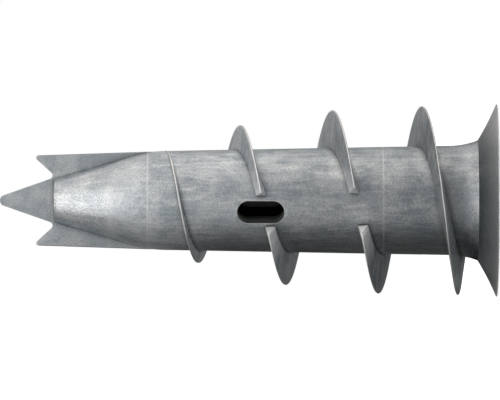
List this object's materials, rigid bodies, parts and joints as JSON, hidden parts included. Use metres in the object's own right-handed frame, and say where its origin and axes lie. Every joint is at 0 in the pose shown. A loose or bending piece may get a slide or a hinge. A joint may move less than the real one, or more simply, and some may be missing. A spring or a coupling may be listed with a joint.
{
  "type": "self-drilling drywall anchor",
  "caption": "Self-drilling metal drywall anchor: tapered threaded barrel, flat forked drill tip, wide countersunk head, cross recess and screw bore.",
  "frame": {"origin": "centre of the head's flat face, where the screw bore opens", "axes": "+Z along the axis from the head to the drill tip; the flat drill blade lies in the XZ plane; the side window that the picture shows faces -Y, turned 13.5 degrees towards -X"},
  "size_m": [0.0148, 0.0146, 0.038],
  "materials": {
    "zinc_casting": "as-cast zinc alloy, tumbled, satin blue-grey with faint axial streaks"
  },
  "bodies": {
    "root": {"anchor": "zinc_casting"}
  },
  "joints": []
}
